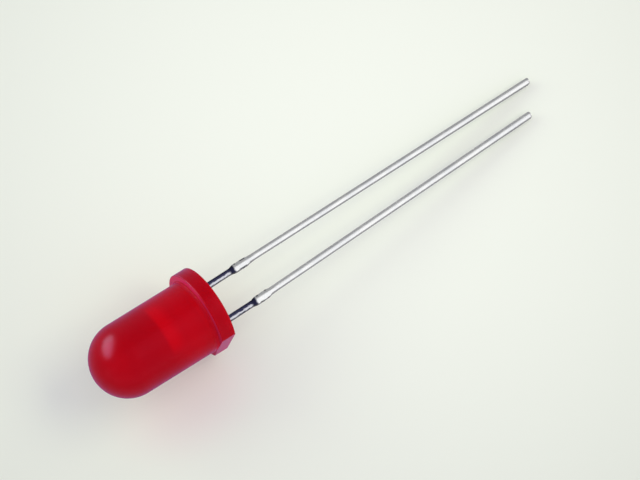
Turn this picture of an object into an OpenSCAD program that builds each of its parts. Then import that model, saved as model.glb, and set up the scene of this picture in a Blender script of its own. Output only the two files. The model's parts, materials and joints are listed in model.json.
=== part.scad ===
// Five millimetre through hole LED with a diffused red lens, lying as it rests on a bench.
// Each piece is drawn upright first: the lens axis is Z, the dome points up, the flange's back face is
// at z = 0, the cathode side is +X and the leads run down. rest() then lays the whole LED down.

/* [Lens] */
// Diameter of the barrel and of the dome that ends it
barrel_d = 5; // [4.7:0.05:5.3]
// Height from the flange's back face to the tip of the dome
lens_h = 8.8; // [8.2:0.1:10]
// Thickness of the flange
flange_t = 1; // [0.8:0.05:1.4]
// How far the flange stands out past the barrel
flange_ledge = 0.47; // [0.35:0.01:0.6]
// How far the polarity flat stays outside the barrel
flat_proud = 0.02; // [0.01:0.01:0.15]
// Radius of the inside corner between the flange and the barrel
root_fillet_r = 0.14; // [0.06:0.01:0.2]
// Radius that softens both edges of the flange
flange_edge_r = 0.05; // [0.02:0.01:0.1]
// Reach of the cast epoxy down each lead, under the flange
meniscus_h = 0.25; // [0.1:0.01:0.5]
// Diameter of that epoxy collar where it leaves the flange
meniscus_d = 1.1; // [0.9:0.01:1.4]

/* [Leads] */
// Distance between the two leads where they leave the flange
lead_pitch = 2.5; // [2.3:0.01:2.8]
// Length of the anode lead below the flange
anode_l = 25.9; // [20:0.1:30]
// How much shorter the cathode lead is
cathode_cut = 1.2; // [0.5:0.05:2]
// Width of the solder dipped lead, across the row
lead_w = 0.46; // [0.38:0.01:0.5]
// Thickness of the solder dipped lead
lead_t = 0.48; // [0.46:0.01:0.54]
// Corner radius of the solder coat
solder_r = 0.12; // [0.04:0.01:0.18]
// Thickness of the stamped sheet
sheet_t = 0.45; // [0.36:0.01:0.46]
// Width of the bare neck between the flange and the solder
neck_w = 0.4; // [0.36:0.01:0.44]
// Length from the flange to the end of the bare neck
neck_l = 2.6; // [1.8:0.1:4]
// Length of the stub that the sheared tie bar leaves on each lead
tie_stub_l = 1.25; // [0.8:0.05:2]
// How far that stub stands out at each side of the lead
tie_stub_out = 0.045; // [0.03:0.005:0.1]

/* [How the leads are bent] */
// Straight length of lead between the epoxy collar and the bend
bend_gap = 0.1; // [0.05:0.01:0.4]
// Angle at which both leads rise out of the leadframe's plane, in degrees
lead_rise = 4; // [0:0.5:6]
// Lean of both necks towards the anode side, in degrees
neck_lean = 0.55; // [0:0.05:2]
// Further bend of the anode lead at its tie bar stub, in degrees
anode_bend = -0.35; // [-1:0.05:1]
// Further bend of the cathode lead at its tie bar stub, in degrees
cathode_bend = 1.15; // [-1:0.05:2]

/* [Leadframe inside the lens] */
// Height of the reflector cup's rim above the flange's back face
cup_rim_z = 3.6; // [3.3:0.05:4.2]
// Diameter of the round head that the cup is coined into
head_d = 1.25; // [1.15:0.01:1.4]
// Height of that head
head_h = 0.75; // [0.65:0.01:0.9]
// Diameter of the cup at its rim
cup_rim_d = 0.95; // [0.8:0.01:1.02]
// Diameter of the cup's floor
cup_floor_d = 0.56; // [0.5:0.01:0.64]
// Depth of the cup
cup_depth = 0.32; // [0.27:0.01:0.4]
// Width of the anvil's top, under the head
anvil_top_w = 1; // [0.8:0.05:1.1]
// Height at which the anvil starts to lean towards the axis
anvil_z = 0.6; // [0.4:0.05:1.1]
// Height of the anvil's outer shoulder
anvil_shoulder_z = 2.3; // [1.4:0.05:2.4]
// How far the anvil stands out past the outer side of its lead
anvil_ledge = 0.25; // [0.05:0.05:0.5]
// Gap between the anvil and the anode post
frame_gap = 0.35; // [0.25:0.01:0.45]
// Width of the anode post's flat top
post_w = 0.6; // [0.5:0.01:0.8]
// Height of the post's wide top, down to its shoulder
post_top_h = 0.45; // [0.3:0.05:0.7]
// Reach of the anode post's flag, from the lens axis
flag_reach = 0.35; // [0.2:0.01:0.5]
// Height of the flag's tip
flag_h = 0.5; // [0.3:0.05:0.7]

/* [Chip and bond wire] */
// Side of the square chip
chip_w = 0.3; // [0.25:0.01:0.34]
// Height of the chip
chip_h = 0.18; // [0.14:0.01:0.22]
// Diameter of the metal pad on the chip
pad_d = 0.11; // [0.1:0.01:0.16]
// Thickness of the silver epoxy under the chip
attach_t = 0.02; // [0.01:0.005:0.04]
// Diameter of the bond wire
wire_d = 0.03; // [0.025:0.005:0.05]
// Radius of the wire's first curve
loop_r = 0.3; // [0.2:0.01:0.38]
// Angle at which the wire comes down to the post, in degrees
wire_fall = 25; // [20:1:30]

/* [Hidden] */
$fn = 96;
overlap = 0.05;
hair = 0.001;

barrel_r = barrel_d / 2;
flange_r = barrel_r + flange_ledge;
flat_x = barrel_r + flat_proud;
dome_z = lens_h - barrel_r;
exit_x = lead_pitch / 2;
cathode_l = anode_l - cathode_cut;

// The epoxy collar narrows in two steps: a third of its height takes most of its width.
collar_knee_h = meniscus_h / 3;
collar_knee_share = 0.3;
collar_film = 0.02;

// Metal left between the sheet's top edge and the cup's floor, and the cone under the head
floor_web = 0.1;
head_cone_h = 0.35;
head_cone_r = 0.2;
post_shoulder_h = 0.3;

head_r = head_d / 2;
head_z = cup_rim_z - head_h;
cup_floor_z = cup_rim_z - cup_depth;
post_in_x = -(head_r + frame_gap);
post_x = post_in_x - post_w / 2;

pad_t = 0.01;
attach_edge = 0.02;
attach_d = chip_w * sqrt(2) + 2 * attach_edge;
chip_z = cup_floor_z + attach_t;
pad_z = chip_z + chip_h + pad_t;

// Stub of the tie bar: the solder's shoulder, the coat on its faces, and its torn edge as pairs of a
// share of the stub's length and a share of how far it stands out
stub_shoulder = 0.015;
stub_foot = 0.004;
stub_t = lead_t + 0.02;
torn_edge = [[0.16, 0.9], [0.24, 1], [0.42, 0.82], [0.5, 0.97], [0.74, 0.9], [0.84, 1]];
torn_shift = 0.04;

// The anvil's slanted underside runs from slant_low to slant_high. The post follows it, one gap away.
slant_low = [exit_x - neck_w / 2, anvil_z];
slant_high = [-anvil_top_w / 2, head_z];
slant_dir = (slant_high - slant_low) / norm(slant_high - slant_low);
slant_gap = frame_gap * [-slant_dir[1], slant_dir[0]];
function post_slant(x) = slant_low[1] + slant_gap[1]
    + (x - slant_low[0] - slant_gap[0]) * slant_dir[1] / slant_dir[0];

// The bend itself is a round knuckle, a little smaller than the sheet so that it stays inside both legs.
knuckle_d = 0.95 * sheet_t;

// Below their bend both leads lie in one plane. In it, a tip is this far down from the bend, and has
// drifted this far towards the anode side.
bend_z = meniscus_h + bend_gap;
neck_run = neck_l - bend_z;
function tip_run(length, bend) = neck_run * cos(neck_lean) + (length - neck_l) * cos(neck_lean + bend);
function tip_drift(length, bend) = neck_run * sin(neck_lean) + (length - neck_l) * sin(neck_lean + bend);
anode_run = tip_run(anode_l, anode_bend);
cathode_run = tip_run(cathode_l, cathode_bend);

// The lowest round corner of a tip, with X along the lens axis, Y to the anode side and Z up: the
// middle of its radius, and how far that is above the lowest point of the flange before the LED tilts
corner_drop = lead_t / 2 - solder_r;
function foot_x(run) = bend_z + run * cos(lead_rise) + corner_drop * sin(lead_rise);
function foot_above(run) = flange_r + run * sin(lead_rise) - corner_drop * cos(lead_rise) - solder_r;
anode_foot = [
    foot_x(anode_run) + flange_edge_r,
    exit_x + tip_drift(anode_l, anode_bend) - lead_w / 2 + solder_r,
    foot_above(anode_run)
];
cathode_foot = [
    foot_x(cathode_run) + flange_edge_r,
    tip_drift(cathode_l, cathode_bend) - exit_x - lead_w / 2 + solder_r,
    foot_above(cathode_run)
];

// At rest the flange's back edge and both tips touch the bench. The tilt lowers the tips and the roll
// lowers the shorter cathode lead: both feet have to come down by what they are above the flange. The
// roll is small enough for its cosine to be taken as 1.
foot_cross = cathode_foot[0] * anode_foot[1] - anode_foot[0] * cathode_foot[1];
tilt_tan = (anode_foot[1] * cathode_foot[2] - cathode_foot[1] * anode_foot[2]) / foot_cross;
roll_sin = (anode_foot[0] * cathode_foot[2] - cathode_foot[0] * anode_foot[2]) / foot_cross;
rest_tilt = atan(tilt_tan);
rest_roll = asin(roll_sin);

// The bond wire rises from the chip, curves over and runs straight down to the middle of the post's top.
wire_r = wire_d / 2;
bead_r = 1.05 * wire_r;
curve_end_x = -loop_r * (1 + sin(wire_fall));
wire_rise = cup_rim_z - pad_z - loop_r * cos(wire_fall) + (curve_end_x - post_x) * tan(wire_fall);
wire_run = (curve_end_x - post_x) / cos(wire_fall);
ball_d = 2.8 * wire_d;
ball_h = 0.8 * wire_d;
stitch_d = 3.2 * wire_d;
stitch_h = 0.5 * wire_d;

// Turns the upright LED so that the dome points to -X and the cathode side to -Y, then lays it to rest.
module rest() {
    rotate([rest_roll, rest_tilt, 0])
        rotate([0, -90, 0])
            rotate([0, 0, -90])
                children();
}

// A flat piece of the stamped sheet, from an outline in X and Z
module stamped(thickness) {
    rotate([90, 0, 0])
        linear_extrude(height = thickness, center = true)
            children();
}

// Half section of the lens: dome, barrel and flange in one casting
module lens_section() {
    square([barrel_r, dome_z]);
    intersection() {
        translate([0, dome_z]) circle(r = barrel_r);
        translate([0, dome_z - overlap]) square([barrel_r, barrel_r + 2 * overlap]);
    }
    square([flange_r - flange_edge_r, flange_t]);
    translate([0, flange_edge_r]) square([flange_r, flange_t - 2 * flange_edge_r]);
    for (z = [flange_edge_r, flange_t - flange_edge_r]) {
        translate([flange_r - flange_edge_r, z]) circle(r = flange_edge_r);
    }
    difference() {
        translate([barrel_r - overlap, flange_t - overlap]) square(root_fillet_r + overlap);
        translate([barrel_r + root_fillet_r, flange_t + root_fillet_r]) circle(r = root_fillet_r);
    }
}

// Collar of epoxy that the casting leaves round one lead, with a hollow flank
module meniscus() {
    collar_r = meniscus_d / 2;
    tip_r = norm([neck_w, sheet_t]) / 2 + collar_film;
    knee_r = tip_r + collar_knee_share * (collar_r - tip_r);
    translate([0, 0, -collar_knee_h]) cylinder(r1 = knee_r, r2 = collar_r, h = collar_knee_h + hair);
    translate([0, 0, -meniscus_h]) cylinder(r1 = tip_r, r2 = knee_r, h = meniscus_h - collar_knee_h);
}

// The lens before its leadframe, chip and wire are cast in
module lens_casting() {
    difference() {
        rotate_extrude() lens_section();
        translate([flat_x, -flange_r, -overlap])
            cube([flange_r, 2 * flange_r, flange_t + root_fillet_r + overlap]);
    }
    for (x = [-exit_x, exit_x]) translate([x, 0, 0]) meniscus();
}

// Outline of the anode: post with a flag that follows the anvil, down to the lead's bend
module anode_outline() {
    flag_z = post_slant(-flag_reach);
    flag_low_z = flag_z - flag_h;
    inner_x = neck_w / 2 - exit_x;
    outer_x = -neck_w / 2 - exit_x;
    polygon([
        [post_in_x, cup_rim_z],
        [post_in_x, post_slant(post_in_x)],
        [-flag_reach, flag_z],
        [-flag_reach, flag_low_z],
        [inner_x, flag_low_z - flag_h],
        [inner_x, -bend_z],
        [outer_x, -bend_z],
        [outer_x, cup_rim_z - post_top_h - post_shoulder_h],
        [post_in_x - post_w, cup_rim_z - post_top_h],
        [post_in_x - post_w, cup_rim_z]
    ]);
}

// Outline of the cathode: the anvil that leans to the lens axis, down to the lead's bend
module cathode_outline() {
    top_z = cup_floor_z - floor_web;
    outer_x = exit_x + neck_w / 2;
    polygon([
        slant_low,
        slant_high,
        [slant_high[0], top_z],
        [-slant_high[0], top_z],
        [-slant_high[0], head_z],
        [outer_x + anvil_ledge, anvil_shoulder_z],
        [outer_x + anvil_ledge, anvil_z + anvil_ledge],
        [outer_x, anvil_z],
        [outer_x, -bend_z],
        [exit_x - neck_w / 2, -bend_z]
    ]);
}

// Round head of the anvil with the coined reflector cup
module cup_head() {
    cup_slope = (cup_rim_d - cup_floor_d) / 2 / cup_depth;
    difference() {
        union() {
            translate([0, 0, head_z]) cylinder(r = head_r, h = head_h);
            translate([0, 0, head_z - head_cone_h])
                cylinder(r1 = head_cone_r, r2 = head_r, h = head_cone_h);
        }
        translate([0, 0, cup_floor_z])
            cylinder(
                d1 = cup_floor_d,
                d2 = cup_rim_d + 2 * cup_slope * overlap,
                h = cup_depth + overlap
            );
    }
}

// A point on a neck: down the lead from its bend by distance, and out to one side of its middle
function neck_point(side, distance) = [
    side * cos(neck_lean) - distance * sin(neck_lean),
    -side * sin(neck_lean) - distance * cos(neck_lean)
];

// Outline of the bare neck, from the bend to the solder
module neck_outline() {
    polygon([
        [-neck_w / 2, 0],
        [neck_w / 2, 0],
        neck_point(neck_w / 2, neck_run),
        neck_point(-neck_w / 2, neck_run)
    ]);
}

// Stub of the sheared tie bar: a solder shoulder, then the two torn edges
module tie_stub_outline() {
    near = neck_w / 2 + stub_shoulder;
    far = lead_w / 2;
    edge = [for (t = torn_edge) [far + t[1] * tie_stub_out, -t[0] * tie_stub_l]];
    polygon(concat(
        [[near, overlap]],
        edge,
        [[far + stub_foot, -tie_stub_l]],
        [[-far - stub_foot, -tie_stub_l]],
        [for (k = [len(edge) - 1:-1:0]) [-edge[k][0], edge[k][1] + torn_shift]],
        [[-near, overlap]]
    ));
}

// Section of the lead after its solder dip, with round corners
module dipped_section() {
    square([lead_w, lead_t - 2 * solder_r], center = true);
    square([lead_w - 2 * solder_r, lead_t], center = true);
    for (x = [-1, 1], y = [-1, 1]) {
        translate([x * (lead_w / 2 - solder_r), y * (lead_t / 2 - solder_r)]) circle(r = solder_r);
    }
}

// One lead below its bend: the bend itself, the bare neck, the stub and the dipped length
module bent_lead(x, length, bend) {
    dip_l = length - neck_l;
    translate([x, 0, -bend_z])
        rotate([lead_rise, 0, 0]) {
            rotate([0, 90, 0]) cylinder(d = knuckle_d, h = neck_w - overlap, center = true);
            stamped(sheet_t) neck_outline();
            rotate([0, neck_lean, 0])
                translate([0, 0, -neck_run])
                    rotate([0, bend, 0]) {
                        stamped(stub_t) tie_stub_outline();
                        translate([0, 0, -dip_l])
                            linear_extrude(height = dip_l - tie_stub_l / 2) dipped_section();
                    }
        }
}

// The anode as it is cast in: post, flag and the start of its lead
module anode_frame() {
    stamped(sheet_t) anode_outline();
}

// The cathode as it is cast in: anvil, cup and the start of its lead
module cathode_frame() {
    stamped(sheet_t) cathode_outline();
    cup_head();
}

// The square chip with the round bond pad on top
module chip_solid() {
    translate([-chip_w / 2, -chip_w / 2, chip_z]) cube([chip_w, chip_w, chip_h]);
    translate([0, 0, pad_z - 2 * pad_t]) cylinder(d = pad_d, h = 2 * pad_t);
}

// The drop of silver epoxy that holds the chip in the cup
module attach_solid() {
    translate([0, 0, cup_floor_z]) cylinder(d = attach_d, h = attach_t);
}

// Ball on the chip, rising wire, curve, straight run and stitch on the post. A bead that is hardly
// thicker than the wire joins each pair of lengths.
module wire_solid() {
    curve_z = pad_z + wire_rise;
    curve_end_z = curve_z + loop_r * cos(wire_fall);
    translate([0, 0, pad_z]) cylinder(d = ball_d, h = ball_h);
    translate([0, 0, pad_z]) cylinder(r = wire_r, h = wire_rise);
    translate([0, 0, curve_z]) sphere(r = bead_r);
    translate([-loop_r, 0, curve_z])
        rotate([90, 0, 0])
            rotate_extrude(angle = 90 + wire_fall)
                translate([loop_r, 0]) circle(r = wire_r);
    translate([curve_end_x, 0, curve_end_z]) sphere(r = bead_r);
    intersection() {
        translate([post_x, 0, cup_rim_z])
            rotate([0, 90 - wire_fall, 0])
                translate([0, 0, -wire_d])
                    cylinder(r = wire_r, h = wire_run + wire_d);
        translate([-barrel_r, -wire_d, cup_rim_z]) cube([barrel_d, 2 * wire_d, barrel_r]);
    }
    translate([post_x, 0, cup_rim_z]) cylinder(d = stitch_d, h = stitch_h);
}

module lens_body() {
    color("firebrick")
        rest()
            difference() {
                lens_casting();
                anode_frame();
                cathode_frame();
                attach_solid();
                chip_solid();
                wire_solid();
            }
}

module anode_lead() {
    color("silver")
        rest() {
            anode_frame();
            bent_lead(-exit_x, anode_l, anode_bend);
        }
}

module cathode_lead() {
    color("silver")
        rest() {
            cathode_frame();
            bent_lead(exit_x, cathode_l, cathode_bend);
        }
}

module chip() {
    color("dimgray") rest() chip_solid();
}

module chip_attach() {
    color("gainsboro") rest() attach_solid();
}

module bond_wire() {
    color("gold") rest() wire_solid();
}

lens_body();
anode_lead();
cathode_lead();
chip();
chip_attach();
bond_wire();
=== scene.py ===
# %% [markdown]
# # A five millimetre red indicator LED, lying on a white bench
# The packed CAD parts come in as a fixed frame: the lens, its two leads, the chip, the silver epoxy and
# the bond wire. Blender doesn't move them. This script gives each of them its finish, casts a finer skin
# for the lens and the leads over the same sizes, and then sets up the bench, the lamps and the camera.
# %% Load the frame
import json
import math

import bmesh
import bpy
import numpy as np
from mathutils import Matrix, Quaternion, Vector, noise


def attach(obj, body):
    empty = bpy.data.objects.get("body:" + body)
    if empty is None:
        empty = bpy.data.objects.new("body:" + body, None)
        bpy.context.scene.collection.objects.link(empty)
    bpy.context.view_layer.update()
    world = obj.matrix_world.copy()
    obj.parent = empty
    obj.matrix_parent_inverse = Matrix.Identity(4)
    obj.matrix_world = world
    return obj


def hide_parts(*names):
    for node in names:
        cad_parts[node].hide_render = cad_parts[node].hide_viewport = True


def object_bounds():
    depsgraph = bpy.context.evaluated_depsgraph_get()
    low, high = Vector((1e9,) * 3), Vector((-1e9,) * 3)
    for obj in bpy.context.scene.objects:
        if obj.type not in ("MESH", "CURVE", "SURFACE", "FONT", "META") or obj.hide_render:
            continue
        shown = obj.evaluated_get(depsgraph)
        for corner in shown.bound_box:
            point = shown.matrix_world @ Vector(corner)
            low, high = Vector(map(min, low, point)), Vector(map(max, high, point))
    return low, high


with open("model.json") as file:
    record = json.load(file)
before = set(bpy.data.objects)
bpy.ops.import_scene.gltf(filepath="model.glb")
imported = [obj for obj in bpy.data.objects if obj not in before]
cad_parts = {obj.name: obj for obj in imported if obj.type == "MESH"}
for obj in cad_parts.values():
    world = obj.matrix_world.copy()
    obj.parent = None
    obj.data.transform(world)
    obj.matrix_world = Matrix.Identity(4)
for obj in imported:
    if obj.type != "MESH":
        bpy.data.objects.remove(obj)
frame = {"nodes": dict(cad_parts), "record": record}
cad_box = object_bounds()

MM = 0.001
print("CAD box in mm:", [round(c / MM, 2) for corner in cad_box for c in corner])

# %% [markdown]
# ## The LED's own axes
# On the bench the LED leans: its flange and both lead tips touch down, so nothing on it is square to the
# world. It is far easier to build it upright, dome up and leads down, and to lay it down at the end. The
# record keeps named mounts. The one on the barrel says where the lens axis points, and the one on the
# polarity flat says which side is the cathode's. Two directions and their cross product make a full set
# of axes, so no angle has to be typed in twice.
# %% Axes from the mounts
mounts = {m["name"]: m for m in frame["record"]["mounts"]}
to_dome = Vector(mounts["barrel"]["axis"]).normalized()
to_flat = Vector(mounts["polarity_flat"]["axis"])
to_flat = (to_flat - to_flat.dot(to_dome) * to_dome).normalized()
to_sky = (Vector((0, 0, 1)) - to_dome.z * to_dome).normalized()
seat = Vector(mounts["seat"]["pos_m"])
turned = Matrix((to_flat, to_dome.cross(to_flat), to_dome)).transposed().to_4x4()
upright_to_bench = Matrix.Translation(seat) @ turned
bench_to_upright = upright_to_bench.inverted()
print("lens axis rises", round(math.degrees(math.asin(to_dome.z)), 2), "degrees towards the dome")

# %% [markdown]
# ## Sizes read off the CAD lens
# The finer skin has to match the CAD lens, so its sizes are measured on the CAD mesh itself. Seen
# upright, the highest vertex gives the lens height and the widest ones the flange. The record's mounts
# give the barrel, the flange's thickness, the flat and the place where the leads come out.
# %% Measure the lens
def upright_points(node):
    """Vertices of a CAD node in the upright LED's axes, in metres."""
    mesh = frame["nodes"][node].data
    return np.array([bench_to_upright @ v.co for v in mesh.vertices])


lens_points = upright_points("lens_body")
barrel_r = mounts["barrel"]["dims"]["r_mm"] * MM
flange_r = np.hypot(lens_points[:, 0], lens_points[:, 1]).max()
lens_h = lens_points[:, 2].max()
collar_h = -lens_points[:, 2].min()
flange_t = (seat - Vector(mounts["flange_front"]["pos_m"])).dot(-to_dome)
flat_x = (Vector(mounts["polarity_flat"]["pos_m"]) - seat).dot(to_flat)
exit_x = abs((Vector(mounts["anode_pin"]["pos_m"]) - seat).dot(to_flat))
print("barrel radius", round(barrel_r / MM, 3), "and flange radius", round(flange_r / MM, 3), "mm")
print("lens", round(lens_h / MM, 3), "mm high, flange", round(flange_t / MM, 3), "mm thick")
print("flat at", round(flat_x / MM, 3), "and leads at", round(exit_x / MM, 3), "mm from the axis")

# %% [markdown]
# ## The lens skin
# A real lens is cast in a polished cup-shaped mould, so it is one body of revolution with a flat on its
# flange. A sphere on a cylinder would leave a visible joint, and a subdivided cage would swell its
# straight barrel. Spinning one exact half outline gives both the dome's true curve and crisp flange
# edges. The outline is a list of points. Two points make a straight run, and an arc takes many.
# %% Outline helpers
def arc(cx, cz, r, start, end, steps):
    """Points of an arc in the lens section, from start to end in degrees."""
    angles = [math.radians(start + (end - start) * k / steps) for k in range(steps + 1)]
    return [(cx + r * math.cos(a), cz + r * math.sin(a)) for a in angles]


def spin(outline, steps, name):
    """Closed mesh made by turning an outline of (radius, height) pairs round Z."""
    mesh = bpy.data.meshes.new(name)
    b = bmesh.new()
    rings = []
    for r, z in outline:
        if r < 1e-9:
            rings.append([b.verts.new((0, 0, z))])
        else:
            turn = [2 * math.pi * k / steps for k in range(steps)]
            rings.append([b.verts.new((r * math.cos(a), r * math.sin(a), z)) for a in turn])
    for low, high in zip(rings, rings[1:]):
        for k in range(steps):
            n = (k + 1) % steps
            corners = [low[k % len(low)], low[n % len(low)], high[n % len(high)], high[k % len(high)]]
            corners = list(dict.fromkeys(corners))
            if len(corners) > 2:
                b.faces.new(corners)
    bmesh.ops.recalc_face_normals(b, faces=b.faces)
    b.to_mesh(mesh)
    b.free()
    return bpy.data.objects.new(name, mesh)


print("a quarter arc in two steps:", [(round(x, 2), round(z, 2)) for x, z in arc(0, 0, 1, 0, 90, 2)])

# %% [markdown]
# ### Casting it
# The outline starts in the middle of the flange's underside, goes round the flange's two softened edges,
# through the hollow root and up the barrel, and over the dome. The dome takes the most steps, since its
# outline is what the eye follows.
# %% Cast the lens
EDGE_R = 0.05 * MM
ROOT_R = 0.14 * MM
LENS_SIDES = 192
lens_outline = (
    [(0, 0)]
    + arc(flange_r - EDGE_R, EDGE_R, EDGE_R, -90, 0, 6)
    + arc(flange_r - EDGE_R, flange_t - EDGE_R, EDGE_R, 0, 90, 6)
    + arc(barrel_r + ROOT_R, flange_t + ROOT_R, ROOT_R, 270, 180, 8)
    + arc(0, lens_h - barrel_r, barrel_r, 0, 90, 48)
)
lens_outline[-1] = (0, lens_h)
lens = spin(lens_outline, LENS_SIDES, "lens")
bpy.context.scene.collection.objects.link(lens)
print("spun lens:", len(lens.data.polygons), "faces")

# %% [markdown]
# ### The polarity flat
# The flat marks the cathode's side. In the mould it is a plane across the flange's round, so here the
# spun lens is cut by a plane and the open rim is closed with one face. A Boolean with a big block would
# do the same but leaves more faces behind.
# %% Cut the flat
b = bmesh.new()
b.from_mesh(lens.data)
everything = b.verts[:] + b.edges[:] + b.faces[:]
cut = bmesh.ops.bisect_plane(
    b, geom=everything, plane_co=(flat_x, 0, 0), plane_no=(1, 0, 0), clear_outer=True
)
rim = [e for e in cut["geom_cut"] if isinstance(e, bmesh.types.BMEdge)]
bmesh.ops.contextual_create(b, geom=rim)
bmesh.ops.recalc_face_normals(b, faces=b.faces)
b.to_mesh(lens.data)
b.free()
print("lens with its flat:", len(lens.data.polygons), "faces")

# %% [markdown]
# ### Collars of epoxy
# Where each lead leaves the mould the epoxy creeps a little way down it. Each collar is a small spun
# form with a hollow flank, and it is fused to the flange so that no seam shows.
# %% Fuse the collars
COLLAR_R = 0.55 * MM
COLLAR_TIP_R = 0.321 * MM
COLLAR_SINK = 0.1 * MM
COLLAR_HOLLOW = 2.2


def apply_modifiers(obj):
    """Make an object's mesh what its modifiers show."""
    graph = bpy.context.evaluated_depsgraph_get()
    obj.data = bpy.data.meshes.new_from_object(obj.evaluated_get(graph))
    obj.modifiers.clear()


def fuse(target, tool):
    """Union of two closed meshes, applied to the first."""
    bpy.context.scene.collection.objects.link(tool)
    step = target.modifiers.new("fuse", "BOOLEAN")
    step.operation, step.solver, step.object = "UNION", "EXACT", tool
    apply_modifiers(target)
    bpy.data.objects.remove(tool)


for side in (-1, 1):
    flank = [
        (COLLAR_TIP_R + (COLLAR_R - COLLAR_TIP_R) * (1 - t) ** COLLAR_HOLLOW, -collar_h * t)
        for t in np.linspace(0, 1, 12)
    ]
    collar = spin([(0, COLLAR_SINK), (COLLAR_R, COLLAR_SINK)] + flank + [(0, -collar_h)], 64, "collar")
    collar.data.transform(Matrix.Translation((side * exit_x, 0, 0)))
    fuse(lens, collar)
print("lens with collars:", len(lens.data.polygons), "faces")

# %% [markdown]
# ### Laying it down
# The lens was built upright, so one matrix lays it on the bench, into the place of the CAD lens. Smooth
# shading alone would blur the flange's corners, so edges that turn by more than 30 degrees stay sharp.
# %% Lay the lens on the bench
lens.data.transform(upright_to_bench)
lens.data.shade_smooth()
lens.data.set_sharp_from_angle(angle=math.radians(30))
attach(lens, "root")
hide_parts("lens_body")
print("lens lowest point:", round(min(v.co.z for v in lens.data.vertices) / MM, 3), "mm")

# %% [markdown]
# ## Wiring a finish
# Every finish in this lesson is wired from the same few steps. Written out with plain nodes they would
# fill pages, so each step gets one short name. Under them all lies one object that adds nodes to the tree
# of a material or a world and feeds their inputs. An input takes a plain value or another node's output
# through the same call, so an even value can become a pattern without rewiring anything.
# %% Nodes and their inputs
class Wiring:
    """The node tree of a material or a world."""

    def __init__(self, owner):
        owner.use_nodes = True
        self.owner = owner
        self.tree = owner.node_tree
        self.place = self.add("ShaderNodeTexCoord").outputs

    def add(self, kind, **properties):
        """New node, with its properties set by name."""
        made = self.tree.nodes.new(kind)
        for key, value in properties.items():
            setattr(made, key, value)
        return made

    def feed(self, socket, value):
        """Set an input to a number, a vector or a colour, or link another node's output to it."""
        if isinstance(value, bpy.types.NodeSocket):
            self.tree.links.new(value, socket)
        elif socket.type == "RGBA":
            socket.default_value = (*value, 1)
        else:
            socket.default_value = value


print("wiring can:", [name for name in vars(Wiring) if not name.startswith("_")])

# %% [markdown]
# ### Measuring a point
# A shader is asked about one point at a time, and it knows where the point lies and which way the face
# looks there. A dot product with a direction turns either of them into a number: a place becomes a
# distance, and a normal tells how squarely the face looks that way. Fading the number between two limits
# makes a soft mask, and the product of two masks is high only where both are.
# %% Distances and masks
class Masks(Wiring):
    """Steps that turn places and normals into numbers."""

    def number(self, operation, *values):
        """Result of a Math node."""
        made = self.add("ShaderNodeMath", operation=operation)
        for socket, value in zip(made.inputs, values):
            self.feed(socket, value)
        return made.outputs[0]

    def vector(self, operation, *values):
        """Result of a Vector Math node: a single number if the operation gives one."""
        made = self.add("ShaderNodeVectorMath", operation=operation)
        for socket, value in zip(made.inputs, values):
            self.feed(socket, value)
        return made.outputs["Value" if operation in ("DOT_PRODUCT", "LENGTH", "DISTANCE") else "Vector"]

    def along(self, vector, direction):
        """How far a vector reaches in some direction."""
        return self.vector("DOT_PRODUCT", vector, direction)

    def fade(self, value, low, high, to_low=0.0, to_high=1.0, kind="SMOOTHSTEP"):
        """Change of a value from one range to another, held at both ends."""
        made = self.add("ShaderNodeMapRange", interpolation_type=kind)
        for socket, number in zip(made.inputs, (value, low, high, to_low, to_high)):
            self.feed(socket, number)
        return made.outputs["Result"]

    def both(self, *values):
        """Product of several values, which is high only where all of them are."""
        result = values[0]
        for value in values[1:]:
            result = self.number("MULTIPLY", result, value)
        return result


print("masks can:", [name for name in vars(Masks) if not name.startswith("_")])

# %% [markdown]
# ### Choosing a colour
# A mask blends two colours, and a ramp gives a whole row of them along a distance. Grain comes from
# noise, whose scale is counted per millimetre of the part. Noise that is scaled to a piece's own box
# would make the grain coarse on a long lead and fine on the tiny chip.
# %% Colours and shaders
class Finish(Masks):
    """Steps that turn masks into colours and shaders."""

    def blend(self, amount, first, second):
        """Mix of two colours."""
        made = self.add("ShaderNodeMix", data_type="RGBA")
        for socket, value in zip((made.inputs[0], made.inputs[6], made.inputs[7]), (amount, first, second)):
            self.feed(socket, value)
        return made.outputs[2]

    def ramp(self, value, low, high, stops):
        """Colours along a value, from (value, colour) stops between low and high."""
        made = self.add("ShaderNodeValToRGB")
        elements = made.color_ramp.elements
        while len(elements) < len(stops):
            elements.new(0.5)
        for element, (at, color) in zip(elements, stops):
            element.position, element.color = (at - low) / (high - low), (*color, 1)
        self.feed(made.inputs[0], self.fade(value, low, high, kind="LINEAR"))
        return made.outputs["Color"]

    def speckle(self, scale, detail, stretch=(1, 1, 1)):
        """Noise in the object's own space, with its scale per millimetre."""
        made = self.add("ShaderNodeTexNoise")
        squeezed = self.vector("MULTIPLY", self.place["Object"], Vector(stretch) / MM)
        for name, value in (("Vector", squeezed), ("Scale", scale), ("Detail", detail)):
            self.feed(made.inputs[name], value)
        return made.outputs["Fac"]

    def mix(self, amount, first, second):
        """Mix of two shaders."""
        made = self.add("ShaderNodeMixShader")
        for socket, value in zip(made.inputs, (amount, first, second)):
            self.feed(socket, value)
        return made.outputs[0]

    def skin(self, settings):
        """Set or link inputs of the material's own shader by name."""
        for name, value in settings.items():
            self.feed(self.tree.nodes["Principled BSDF"].inputs[name], value)


def wear(obj, finish):
    """Give an object a single finish."""
    obj.data.materials.clear()
    obj.data.materials.append(finish.owner)
    print(obj.name, "wears", finish.owner.name, "with", len(finish.tree.nodes), "nodes")


print("finishes can:", [name for name in vars(Finish) if not name.startswith("_")])

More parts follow.
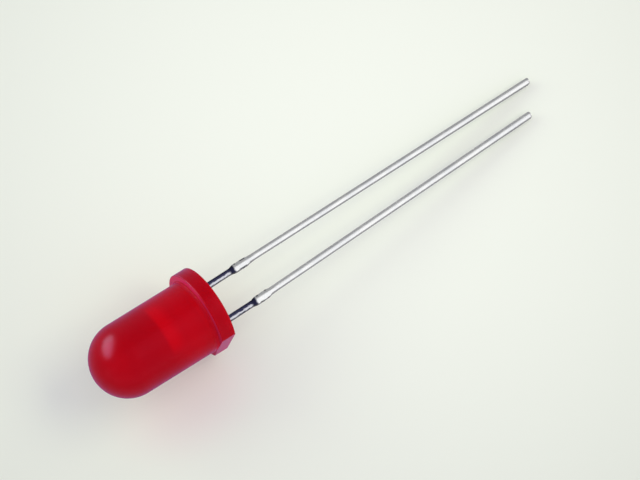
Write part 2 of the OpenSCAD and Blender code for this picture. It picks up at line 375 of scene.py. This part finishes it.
# %% [markdown]
# ## Cast red epoxy
# The resin holds a red dye and a fine pale powder. Light goes a little way in, scatters among the powder
# and comes back red, so the lens looks soft and cloudy and nothing inside has a clear outline. A real
# volume with the frame in it would be slow and full of noise. Here a single Principled shader does it:
# subsurface scattering for the cloudy depth, and a thin coat for the skin that the polished mould leaves.
# The scattering reaches 3 mm for red and hardly anything for the rest, since the dye eats green and blue
# at once. The coat also dims what comes up through it, most of all near the edges. The sheen stands for
# powder grains that reach the surface and catch light at a glancing angle.
# %% Skin of the epoxy
COAT_RED = 0.87
epoxy = Finish(bpy.data.materials.new("cast_red_epoxy"))
epoxy.skin({
    "IOR": 1.5,
    "Specular IOR Level": 0.2,
    "Specular Tint": (1.0, 0.18, 0.42),
    "Subsurface Weight": 0.35,
    "Subsurface Radius": (1.0, 0.03, 0.04),
    "Subsurface Scale": 3 * MM,
    "Coat Weight": 1,
    "Coat Roughness": 0.18,
    "Coat IOR": 1.05,
    "Coat Tint": (COAT_RED, 0.88, 1.0),
    "Sheen Weight": 0.34,
    "Sheen Roughness": 0.38,
    "Sheen Tint": (0.8, 0.2, 0.85),
})
print("the coat lets through", COAT_RED, "of the red")

# %% [markdown]
# ### How the red and the painted light change
# Along its length the red isn't even, and the change is painted light. It is brighter round the frame,
# which would throw light back through the resin, and deeper where the resin is thick with nothing pale
# behind it. The step just above the flange is painted light against the shade of the root's crease. A ramp
# along the lens axis holds that slow change. Its reds are divided by what the coat lets through, so they
# come out as meant.
# %% Red along the lens axis
def under_coat(red, green=0.0001, blue=0.002):
    """Colour under the coat, for the dye and for the painted light alike, before the coat dims its red."""
    return (red / COAT_RED, green, blue)


# Red by height with painted light: brighter round the frame, and a painted lift at 1.03 to 1.22 mm against
# the root's shade.
DYE_AND_PAINTED_LIGHT_BY_HEIGHT = (
    (0.6, 0.355), (0.96, 0.36), (1.03, 0.47), (1.22, 0.47), (1.6, 0.42), (2.4, 0.435),
    (3.3, 0.42), (4.3, 0.37), (5.5, 0.355), (6.8, 0.365), (8.0, 0.42),
)
height_mm = epoxy.along(epoxy.place["Object"], to_dome / MM)
red_with_painted_light = epoxy.ramp(height_mm, 0, lens_h / MM, [(at, under_coat(red)) for at, red in DYE_AND_PAINTED_LIGHT_BY_HEIGHT])
print("red written at", len(DYE_AND_PAINTED_LIGHT_BY_HEIGHT), "heights")

# %% [markdown]
# ### The painted glow above the cup
# The reflector cup sits well down in the barrel. It would throw light back through the resin on the side
# that faces the sky, and that light is painted in: a brighter band crosses the lens there. The band comes
# in slowly from the flange, ends quickly at the cup's rim, and fades where the barrel turns away from the
# light.
# %% Painted glow above the cup
BAND_START, BAND_FULL, BAND_EASE, BAND_END = 2.9, 3.7, 4.0, 4.35
painted_glow_heights = epoxy.both(
    epoxy.fade(height_mm, BAND_START, BAND_FULL), epoxy.fade(height_mm, BAND_END, BAND_EASE)
)
facing_sky = epoxy.fade(epoxy.along(epoxy.place["Normal"], to_sky), 0.62, 0.90)
# Painted light: the band is lighter on the side of the barrel that faces the sky.
red_with_painted_light = epoxy.blend(epoxy.both(painted_glow_heights, facing_sky), red_with_painted_light, under_coat(0.505))
print("cup band from", BAND_START, "to", BAND_END, "mm")

# %% [markdown]
# ### Distances on the flange
# The flange's faces differ a little, and to tell them apart the finish needs to know how far a point lies
# from the lens axis and how far towards the flat. Both come from the same vector, measured from the seat.
# The part of it along the axis is taken away, and what is left is the way out from the axis.
# %% Distances on the flange
from_seat = epoxy.vector("SUBTRACT", epoxy.place["Object"], seat)
up_the_axis = epoxy.vector("PROJECT", from_seat, to_dome)
from_axis = epoxy.vector("LENGTH", epoxy.vector("SUBTRACT", from_seat, up_the_axis))
to_cathode_mm = epoxy.along(from_seat, to_flat / MM)
facing_dome = epoxy.along(epoxy.place["Normal"], to_dome)
facing_flat = epoxy.along(epoxy.place["Normal"], to_flat)
print("flange reaches", round(flange_r / MM, 3), "mm out")

# %% [markdown]
# ### Root, face and flat
# The root between barrel and flange is the one place where a mould is hard to polish, so it is matt, and
# its colour is lifted by painted light against the shade that its crease holds. The flange's front face and
# the flat are painted paler and pinker than the barrel, as a painted reflection of the pale bench, most of
# all on the front face away from the flat. A thin pale line along the front edge, mostly on the side away
# from the flat, is a painted highlight.
# %% Root, face and flat
away_from_flat = epoxy.fade(to_cathode_mm, 0.7, -1.6)
root = epoxy.both(epoxy.fade(height_mm, 0.99, 1.04), epoxy.fade(height_mm, 1.30, 1.08))
front_face = epoxy.both(epoxy.fade(facing_dome, 0.90, 0.98), epoxy.fade(height_mm, 1.25, 1.1))
flat_face = epoxy.both(epoxy.fade(facing_flat, 0.95, 0.99), epoxy.fade(height_mm, 1.03, 0.99))
at_rim = epoxy.fade(from_axis, flange_r - 0.09 * MM, flange_r - 0.04 * MM)
front_edge = epoxy.both(at_rim, epoxy.fade(height_mm, 0.90, 0.95))
# Painted highlight along the flange's front edge, mostly away from the flat.
painted_edge_highlight = epoxy.both(front_edge, away_from_flat, 0.8)

# Painted light: the root's colour is lifted against the shade of its crease.
red_with_painted_light = epoxy.blend(root, red_with_painted_light, under_coat(0.52, 0.004, 0.012))
# Painted reflection of the pale bench on the flange's front face, strongest away from the flat.
painted_face_reflection = epoxy.blend(away_from_flat, under_coat(0.50, 0.004, 0.012), under_coat(0.76, 0.018, 0.06))
red_with_painted_light = epoxy.blend(front_face, red_with_painted_light, painted_face_reflection)
# Painted reflection of the bench on the flat.
red_with_painted_light = epoxy.blend(flat_face, red_with_painted_light, under_coat(0.58, 0.075, 0.055))
red_with_painted_light = epoxy.blend(painted_edge_highlight, red_with_painted_light, (0.56, 0.04, 0.08))
epoxy.skin({"Base Color": red_with_painted_light, "Roughness": epoxy.fade(root, 0, 1, 0.27, 0.75)})
wear(lens, epoxy)

# %% [markdown]
# ## The two leads
# Each lead is a strip stamped out of thin steel sheet. Before it is cut free it is dipped in solder, which
# pulls itself round: the strip's square corners vanish, and the faces come out slightly crowned and a
# little wavy. Bevelled boxes would stay dead flat between their corners and mirror the room in straight
# strips. So a copy of each CAD lead is turned into an even skin of small quads, which is then relaxed the
# way a liquid film is. The copy is stood upright first, so that the quads line up with the lead. In the
# leaning position they would leave stair steps along it.
# %% Solder film
QUAD = 0.032 * MM
TENSION_ROUNDS = 12


def solder_film(source, name):
    """Upright copy of a CAD mesh, remade as even small quads and smoothed as surface tension does."""
    film = bpy.data.objects.new(name, source.data.copy())
    bpy.context.scene.collection.objects.link(film)
    film.data.transform(bench_to_upright)
    step = film.modifiers.new("quads", "REMESH")
    step.mode, step.voxel_size, step.adaptivity = "VOXEL", QUAD, 0
    apply_modifiers(film)
    step = film.modifiers.new("tension", "SMOOTH")
    step.factor, step.iterations = 0.5, TENSION_ROUNDS
    apply_modifiers(film)
    return film


def points_and_normals(mesh):
    """Vertex positions and normals as two arrays."""
    found = []
    for what in ("co", "normal"):
        flat = np.empty(len(mesh.vertices) * 3)
        mesh.vertices.foreach_get(what, flat)
        found.append(flat.reshape(-1, 3))
    return found


leads = {}
for name in ("anode_lead", "cathode_lead"):
    leads[name] = solder_film(frame["nodes"][name], name + "_soldered")
    print(leads[name].name, len(leads[name].data.polygons), "quads")

# %% [markdown]
# ### A rounded square
# Down the long shank the solder evens out to one section, between a square and a circle. A superellipse
# with power 3 is just that. Every point there is pushed out or in to it, measured from a centre line that
# is fitted to the lead, so the lead keeps the slight bow it has.
# %% Section of the shank
NECK_L = 2.6 * MM
SHANK_TOP = NECK_L + 1.35 * MM
SQUARENESS = 3.0
SHANK_SLIM = 0.95
SHANK_SHIFT = 0.010 * MM
KNOTS, KNOT_REACH = 24, 0.3 * MM


def centre_and_half(points, down, axis):
    """Centre line of a shank along one axis, and its mean half size."""
    knots = np.linspace(SHANK_TOP, down.max() - KNOT_REACH, KNOTS)
    spans = []
    for knot in knots:
        near = points[(down > SHANK_TOP) & (np.abs(down - knot) < KNOT_REACH), axis]
        spans.append((near.min(), near.max()))
    spans = np.array(spans)
    line = np.polyval(np.polyfit(knots, spans.mean(axis=1), 3), np.maximum(down, SHANK_TOP))
    return line, (spans[:, 1] - spans[:, 0]).mean() / 2


def rounded_square(points, down):
    """Points pushed onto the shank's section, and the shank's centre line across the row."""
    middle_x, half_x = centre_and_half(points, down, 0)
    middle_y, half_y = centre_and_half(points, down, 1)
    wide = (points[:, 0] - middle_x) / half_x
    deep = (points[:, 1] - middle_y) / half_y
    size = (np.abs(wide) ** SQUARENESS + np.abs(deep) ** SQUARENESS) ** (1 / SQUARENESS) + 1e-9
    made = points.copy()
    made[:, 0] = middle_x - SHANK_SHIFT + wide / size * half_x * SHANK_SLIM
    made[:, 1] = middle_y + deep / size * half_y
    return made, middle_x


print("shank starts", round(SHANK_TOP / MM, 2), "mm below the flange")

# %% [markdown]
# ### Shaping the solder
# The section is faded in below the tie bar stub, and not on the cut ends, whose normals point down the
# lead. The stub keeps its torn outline and only gets a crown, thickest along its middle. Slow noise of a
# few thousandths of a millimetre makes the solder's surface wander. Then the leads are laid down.
# %% Shape the solder
LEAD_HALF = 0.25 * MM
STUB_CROWN = 0.14
WANDER, WANDER_PACE = 0.004 * MM, (0.7, 2.0, 0.35)


def between(values, start, reach):
    """How far values have come from start, held between 0 and 1."""
    return np.clip((values - start) / reach, 0, 1)


for name, lead in leads.items():
    points, normals = points_and_normals(lead.data)
    down = -points[:, 2]
    wave = np.array([noise.noise(Vector(p * WANDER_PACE) / MM) for p in points])
    squared, middle_x = rounded_square(points, down)
    beside_cut = between(-np.abs(normals[:, 2]), -0.85, 0.2)
    in_shank = between(down, SHANK_TOP, 0.4 * MM) * beside_cut
    points += (squared - points) * in_shank[:, None]
    in_stub = between(down, NECK_L, 0.3 * MM) * (1 - in_shank)
    crown = STUB_CROWN * (1 - np.clip((points[:, 0] - middle_x) / LEAD_HALF, -1, 1) ** 2)
    points[:, 1] *= 1 + crown * in_stub
    points += normals * (WANDER * wave * between(down, NECK_L, MM))[:, None]
    lead.data.vertices.foreach_set("co", points.ravel())
    lead.data.transform(upright_to_bench)
    lead.data.update()
    lead.data.shade_smooth()
    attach(lead, "root")
    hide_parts(name)
    print(lead.name, "is", round(down.max() / MM, 2), "mm long below the flange")

# %% [markdown]
# ## Tin on steel
# Molten tin sets with a bright skin whose polish changes in soft patches, and it doesn't reach the neck
# right under the lens. The bare neck carries a painted reflection: one side is painted dark and the other
# bright, as polished steel would mirror a dark and a bright part of the room. One metallic shader covers
# the whole lead, with its colour chosen by how far down the lead a point is and by how far it lies to the
# lead's own left or right. Two materials would need a hard border between them, and there is none on the
# real lead.
# %% Distances on a lead
tin = Finish(bpy.data.materials.new("tinned_steel"))
tin.skin({"Metallic": 1})
down_mm = tin.along(tin.place["Object"], -to_dome / MM)
out_mm = tin.number("SUBTRACT", tin.along(tin.place["Object"], to_flat / MM), seat.dot(to_flat) / MM)
own_middle = tin.both(tin.number("SIGN", out_mm), exit_x / MM)
from_middle_mm = tin.number("SUBTRACT", out_mm, own_middle)
print("each lead is", round(exit_x / MM, 3), "mm from the axis")

# %% [markdown]
# ### The bare neck
# A ramp over the neck's width paints the reflection: a dark strip on one side and a bright one on the
# other. Noise frays the border between them. A dark patch is put just under the shoulder.
# %% Neck colour
# Painted reflection across the neck: a dark strip on one side, a bright one on the other.
NECK_PAINTED_REFLECTION = (
    (-0.23, (0.40, 0.41, 0.48)),
    (-0.17, (0.035, 0.035, 0.08)),
    (0.0, (0.045, 0.045, 0.10)),
    (0.05, (0.70, 0.70, 0.76)),
    (0.13, (0.62, 0.62, 0.68)),
    (0.18, (0.10, 0.10, 0.14)),
)
SHOULDER_DARK = (0.02, 0.02, 0.05)
neck_mm = NECK_L / MM
frayed = tin.number("MULTIPLY_ADD", tin.speckle(9, 3, (0.5, 1, 1)), 0.22, -0.11)
neck_painted_reflection = tin.ramp(tin.number("ADD", from_middle_mm, frayed), -0.25, 0.25, NECK_PAINTED_REFLECTION)
# A dark patch just under the shoulder.
shoulder = tin.both(
    tin.fade(down_mm, neck_mm - 0.30, neck_mm - 0.1), tin.fade(down_mm, neck_mm + 0.25, neck_mm + 0.05)
)
neck_painted_reflection = tin.blend(shoulder, neck_painted_reflection, SHOULDER_DARK)
print("neck crossed by", len(NECK_PAINTED_REFLECTION), "bands")

# %% [markdown]
# ### The tinned length
# Fresh tin is nearly white, with cloudy patches a millimetre or so across. The stub of the cut tie bar is
# torn along its edges, where specks of dark steel show through.
# %% Tin colour and polish
TIN_DULL, TIN_BRIGHT = (0.80, 0.81, 0.83), (0.90, 0.90, 0.90)
DARK_STEEL = (0.03, 0.03, 0.05)
tin_color = tin.blend(tin.fade(tin.speckle(1.2, 4), 0.3, 0.7), TIN_DULL, TIN_BRIGHT)
on_stub = tin.both(
    tin.fade(down_mm, neck_mm + 0.1, neck_mm + 0.2), tin.fade(down_mm, neck_mm + 1.5, neck_mm + 1.3)
)
at_edge = tin.fade(tin.number("ABSOLUTE", from_middle_mm), 0.17, 0.24)
torn = tin.both(on_stub, at_edge, tin.fade(tin.speckle(3.2, 2), 0.50, 0.56))
tin_color = tin.blend(torn, tin_color, DARK_STEEL)
bare = tin.fade(down_mm, neck_mm + 0.22, neck_mm + 0.1)
cloudy_polish = tin.fade(tin.speckle(3, 4), 0.3, 0.7, 0.17, 0.28)
tin.skin({"Base Color": tin.blend(bare, tin_color, neck_painted_reflection), "Roughness": cloudy_polish})
for lead in leads.values():
    wear(lead, tin)

# %% [markdown]
# ## Inside the lens
# The chip, the silver epoxy under it and the gold wire are CAD solids whose shapes are right, so they
# stay as they are and only get finishes. The cloudy resin hides them, but a part taken from a library may
# be cut open, so they are finished too. The chip is a sawn crystal: its sides keep the saw's fine steps,
# a thin grown layer lies on top, and a round gold pad on that carries the wire.
# %% Chip crystal
chip_top = upright_points("chip")[:, 2].max() / MM - 0.005
crystal = Finish(bpy.data.materials.new("sawn_crystal"))
rise_mm = crystal.along(crystal.place["Object"], to_dome / MM)
top_mm = seat.dot(to_dome) / MM + chip_top
saw_steps = crystal.speckle(14, 3, (1, 1, 6))
sawn = crystal.blend(crystal.fade(saw_steps, 0.35, 0.65), (0.10, 0.045, 0.03), (0.20, 0.10, 0.06))
layered = crystal.blend(crystal.fade(rise_mm, top_mm - 0.05, top_mm - 0.03), sawn, (0.32, 0.16, 0.07))
on_pad = crystal.fade(rise_mm, top_mm - 0.004, top_mm - 0.001)
grooves = crystal.add("ShaderNodeBump")
for name, value in (("Strength", 0.3), ("Distance", 0.004 * MM), ("Height", saw_steps)):
    crystal.feed(grooves.inputs[name], value)
crystal.skin({
    "IOR": 3.3,
    "Base Color": crystal.blend(on_pad, layered, (1.0, 0.72, 0.30)),
    "Metallic": on_pad,
    "Roughness": crystal.fade(saw_steps, 0.3, 0.7, 0.22, 0.5),
    "Normal": grooves.outputs["Normal"],
})
wear(frame["nodes"]["chip"], crystal)

# %% [markdown]
# ### Silver epoxy
# The glue is resin packed with silver flakes, so it is grey, uneven and only half a mirror. Voronoi cells
# a few hundredths of a millimetre wide stand for the flakes, each with its own tone and polish.
# %% Silver epoxy
paste = Finish(bpy.data.materials.new("silver_flake_epoxy"))
flakes = paste.add("ShaderNodeTexVoronoi")
paste.feed(flakes.inputs["Scale"], 40 / MM)
paste.feed(flakes.inputs["Vector"], paste.place["Object"])
flake_tone = paste.along(flakes.outputs["Color"], (1, 0, 0))
paste.skin({
    "Metallic": 0.8,
    "Base Color": paste.blend(paste.fade(flake_tone, 0, 1), (0.38, 0.38, 0.39), (0.78, 0.78, 0.76)),
    "Roughness": paste.fade(flake_tone, 0, 1, 0.6, 0.3),
})
wear(frame["nodes"]["chip_attach"], paste)

# %% [markdown]
# ### Gold wire
# The wire is drawn through a die, which leaves it smooth with faint streaks. Noise stretched along one
# direction gives both its colour and its polish.
# %% Gold wire
gold = Finish(bpy.data.materials.new("drawn_gold"))
streaks = gold.speckle(20, 2, (1, 0.2, 1))
gold.skin({
    "Metallic": 1,
    "Base Color": gold.blend(gold.fade(streaks, 0.3, 0.7), (1.0, 0.68, 0.26), (1.0, 0.78, 0.38)),
    "Roughness": gold.fade(streaks, 0.3, 0.7, 0.14, 0.28),
})
wear(frame["nodes"]["bond_wire"], gold)

# %% [markdown] ## The bench The LED lies on white paper. Its colour is painted darker slowly away from a bright spot, a painted fall-off of light as under a lamp that stands close. %% Paper and its painted fall-off
BENCH_W = 0.3
BRIGHT_SPOT = Vector((4.6, 3.6, 0)) * MM
FALL_REACH = 58 * MM
bench_z = cad_box[0].z
middle = (cad_box[0] + cad_box[1]) / 2
bpy.ops.mesh.primitive_plane_add(size=BENCH_W, location=(0, 0, bench_z))
bench = bpy.context.object
bench.name = "bench"
paper = Finish(bpy.data.materials.new("white_paper"))
paper.skin({"Roughness": 0.9, "Specular IOR Level": 0.1})
spot = middle + BRIGHT_SPOT
from_spot = paper.vector("DISTANCE", paper.place["Object"], Vector((spot.x, spot.y, 0)))
# Painted fall-off of light: the paper's colour darkens away from the bright spot.
fall = paper.fade(from_spot, 0, FALL_REACH, 1, 0.66)
print("bench at", round(bench_z / MM, 3), "mm")

# %% [markdown]
# ### Painted red light and shade under the lens
# Light that has gone through the epoxy comes out red and lands on the paper beside the barrel, where the
# LED also shades it. Tracing it through a cloudy body takes many samples, so both are painted into the
# paper: it is a little redder there, with less green and blue, in a soft ellipse that is measured from the
# seat along the LED and across it.
# %% Painted red light and shade beside the barrel
PAPER_WHITE, PAPER_PAINTED_RED_SHADE = (0.885, 0.92, 0.845), (0.885, 0.80, 0.79)
PATCH_L, PATCH_W = 6.5 * MM, 4.6 * MM
along_bench = Vector((to_dome.x, to_dome.y, 0)).normalized()
to_shade = Vector((to_dome.y, -to_dome.x, 0)).normalized()
if to_shade.y > 0:
    to_shade = -to_shade
patch_middle = seat + 4.2 * MM * to_dome + 3.4 * MM * to_shade
patch_middle.z = bench_z
beside = paper.vector("SUBTRACT", paper.place["Object"], patch_middle)
spread = paper.add("ShaderNodeCombineXYZ")
paper.feed(spread.inputs[0], paper.along(beside, along_bench / PATCH_L))
paper.feed(spread.inputs[1], paper.along(beside, to_shade / PATCH_W))
# Painted red light and painted shade on the paper beside the barrel.
patch = paper.fade(paper.vector("LENGTH", spread.outputs[0]), 1.0, 0.15)
white, red = (paper.vector("MULTIPLY", color, fall) for color in (PAPER_WHITE, PAPER_PAINTED_RED_SHADE))
paper.skin({"Base Color": paper.blend(patch, white, red)})
print("red patch at", [round(c / MM, 1) for c in patch_middle], "mm")

# %% [markdown]
# ### What the camera and the metal see
# To look white on its own the paper would need more light than the object can bear. So a quarter of what
# the camera sees is the paper's own flat glow, and the rest is lit paper, which keeps the shadows. The
# leads mirror the bench as well, and would turn white all over. For mirrored rays the paper is mostly a
# cool grey, as a darker room would be.
# %% Glow for the camera, grey for mirrors
PAPER_GLOW, GLOW_SHARE = (0.885, 0.935, 0.85), 0.25
COOL_GREY, GREY_SHARE = (0.17, 0.16, 0.19), 0.75
rays = paper.add("ShaderNodeLightPath").outputs
glow, grey = (paper.add("ShaderNodeEmission") for _ in range(2))
# The camera's glow carries the same painted fall-off of light.
paper.feed(glow.inputs["Color"], paper.vector("MULTIPLY", PAPER_GLOW, fall))
paper.feed(grey.inputs["Color"], COOL_GREY)
lit = paper.tree.nodes["Principled BSDF"].outputs[0]
seen = paper.mix(paper.both(rays["Is Camera Ray"], GLOW_SHARE), lit, glow.outputs[0])
mirrored = paper.mix(paper.both(rays["Is Glossy Ray"], GREY_SHARE), seen, grey.outputs[0])
paper.feed(paper.tree.nodes["Material Output"].inputs[0], mirrored)
wear(bench, paper)

# %% [markdown]
# ## The room
# The room fills the shadows with a soft light that is slightly violet, since the paper under everything
# is slightly yellow. Metal needs something with contrast to mirror, or it looks like grey plastic. So for
# mirrored rays the world has a bright half and a dim half, and the leads show both as bands.
# %% World
ROOM_LIGHT, ROOM_STRENGTH = (1.08, 1.0, 1.27), 0.60
ROOM_MIRRORED = (0.97, 0.975, 0.97)
DIM_HALF, BRIGHT_HALF = 0.38, 1.1
world = bpy.data.worlds.new("room")
bpy.context.scene.world = world
room = Finish(world)
lighting = room.tree.nodes["Background"]
reflected = room.add("ShaderNodeBackground")
facing_wall = room.along(room.place["Generated"], (0, 1, 0))
brightness = room.fade(facing_wall, 0.25, 0.03, DIM_HALF, BRIGHT_HALF)
room.feed(lighting.inputs["Color"], ROOM_LIGHT)
room.feed(lighting.inputs["Strength"], ROOM_STRENGTH)
room.feed(reflected.inputs["Color"], ROOM_MIRRORED)
room.feed(reflected.inputs["Strength"], brightness)
rays = room.add("ShaderNodeLightPath").outputs
whole_room = room.mix(rays["Is Glossy Ray"], lighting.outputs[0], reflected.outputs[0])
room.feed(room.tree.nodes["World Output"].inputs[0], whole_room)
print("room strength", ROOM_STRENGTH)

# %% [markdown]
# ## The lamps
# Two soft lamps light the LED: a window low on the dome's side and a lamp high up over the leads. Soft
# lamps are wide panels close to a small object, because the size seen from the LED is what softens a
# shadow. Each is split in two. One panel lights without being mirrored, and the other is only mirrored,
# so the brightness of a highlight can be set apart from the brightness of the surface.
# %% Lamp helpers
LAMP_AWAY = 0.3


def direction(azimuth, elevation):
    """Unit vector towards a place in the room. Azimuth 0 is at -Y and 90 at +X."""
    a, e = math.radians(azimuth), math.radians(elevation)
    return Vector((math.sin(a) * math.cos(e), -math.cos(a) * math.cos(e), math.sin(e)))


def softbox(name, azimuth, elevation, size, radiance, color=(1, 1, 1), turn=0):
    """A lamp panel that faces the LED, turned about its own axis by some degrees."""
    data = bpy.data.lights.new(name, "AREA")
    data.shape, (data.size, data.size_y), data.color = "RECTANGLE", size, color
    data.energy = radiance * math.pi * size[0] * size[1]
    lamp = bpy.data.objects.new(name, data)
    bpy.context.scene.collection.objects.link(lamp)
    away = direction(azimuth, elevation)
    lamp.location = LAMP_AWAY * away
    lamp.rotation_mode = "QUATERNION"
    lamp.rotation_quaternion = away.to_track_quat("Z", "Y") @ Quaternion((0, 0, 1), math.radians(turn))
    return lamp


print("azimuth 90 points to", [round(c, 2) for c in direction(90, 0)])

# %% [markdown]
# ### Window and ceiling
# The panels that light the surfaces carry the colour of the light, and a red one low in front stands for
# the red that the paper throws back. Their twins carry the highlights and are hidden from diffuse light.
# Light linking lets the window's twin shine on the lens alone. It keeps off the leads, which mirror the
# room instead, and off the paper.
# %% Set the lamps
window = softbox("window", -148, 28, size=(0.25, 0.15), radiance=4.8, color=(0.6, 0.715, 0.5))
ceiling = softbox("ceiling", 72, 50, size=(0.22, 0.11), radiance=3.6, color=(1.14, 1.169, 0.731))
red_bounce = softbox("red_bounce", 0, 5, size=(0.3, 0.2), radiance=1.8, color=(1, 0, 0))
for lamp in (window, ceiling, red_bounce):
    lamp.visible_glossy = False
window_glint = softbox(
    "window_glint", -150, 27, size=(0.34, 0.16), radiance=4.6, color=(1, 2.6, 2.4), turn=28
)
window_glint.data.shape = "ELLIPSE"
ceiling_glint = softbox("ceiling_glint", 72, 50, size=(0.22, 0.11), radiance=1.5)
for lamp in (window_glint, ceiling_glint):
    lamp.visible_diffuse = False
lens_only = bpy.data.collections.new("lens_only")
lens_only.objects.link(lens)
for lamp in (window_glint, red_bounce):
    lamp.light_linking.receiver_collection = lens_only

# %% [markdown]
# ## The camera
# A long lens stands high over the dome's side, so the LED keeps nearly parallel sides. It is set by angle
# and distance round the object's middle, with a small offset across and up to place the LED in the frame.
# %% Camera
SENSOR_W, FOCAL_L = 36, 293.68
CAMERA_AZIMUTH, CAMERA_ELEVATION, CAMERA_ROLL = -34.478, 74.460, -0.634
CAMERA_AWAY, AIM_ACROSS, AIM_UP = 331.009 * MM, 0.120 * MM, -0.643 * MM
camera_data = bpy.data.cameras.new("camera")
camera = bpy.data.objects.new("camera", camera_data)
bpy.context.scene.collection.objects.link(camera)
bpy.context.scene.camera = camera
camera_data.sensor_width, camera_data.lens = SENSOR_W, FOCAL_L
camera_data.clip_start, camera_data.clip_end = 0.01, 5
away = direction(CAMERA_AZIMUTH, CAMERA_ELEVATION)
facing = away.to_track_quat("Z", "Y").to_matrix() @ Matrix.Rotation(math.radians(CAMERA_ROLL), 3, "Z")
camera.location = middle + AIM_ACROSS * facing.col[0] + AIM_UP * facing.col[1] + CAMERA_AWAY * away
camera.rotation_mode = "QUATERNION"
camera.rotation_quaternion = facing.to_quaternion()
print("camera at", [round(c, 4) for c in camera.location])

# %% [markdown] ## Finish The colours are shown as they are, with the Standard view transform.
# Finish The visual model must stay as large as the CAD model.
bpy.context.scene.view_settings.view_transform = "Standard"
